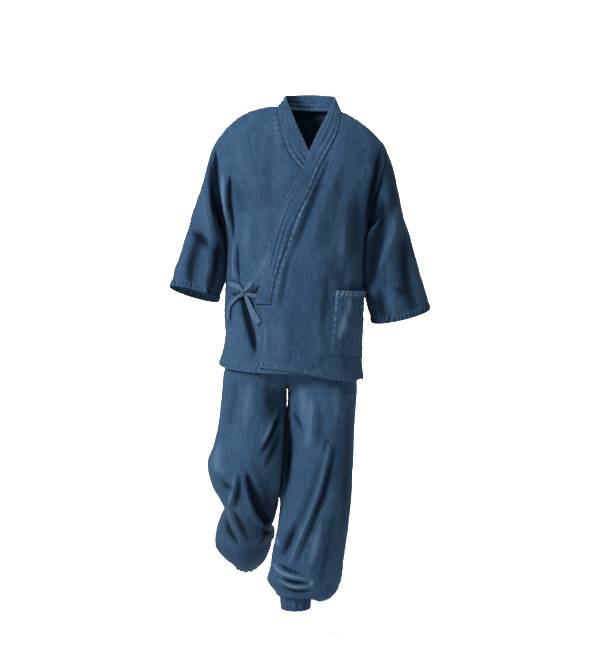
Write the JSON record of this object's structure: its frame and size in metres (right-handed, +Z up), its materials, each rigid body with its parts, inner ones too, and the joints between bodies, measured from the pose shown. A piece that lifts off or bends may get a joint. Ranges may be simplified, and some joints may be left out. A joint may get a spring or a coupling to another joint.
{
  "type": "samue",
  "caption": "Denim samue worn in mid-step: wrap jacket tied at the side, wide sleeves and a patch pocket, over trousers gathered at waist and ankle",
  "frame": {"origin": "the middle of the neck opening, level with the shoulder seams", "axes": "+X to the wearer's left, the wearer faces -Y, +Z up"},
  "size_m": [0.7438, 0.4343, 1.4669],
  "materials": {
    "denim": "matte cotton denim",
    "band": "matte cotton denim, folded and stitched"
  },
  "bodies": {
    "root": {"jacket_back": "denim", "jacket_front_left": "denim", "jacket_front_right": "denim", "collar": "band", "sleeve_left": "denim", "sleeve_right": "denim", "pocket": "denim", "tie_side": "band", "tie_front": "band", "tie_knot": "band", "tie_loop": "band", "tie_tail": "band", "tie_tail_low": "band", "trousers_left_front": "denim", "trousers_left_back": "denim", "trousers_right_front": "denim", "trousers_right_back": "denim", "waistband": "band", "cuff_left": "band", "cuff_right": "band"}
  },
  "joints": []
}
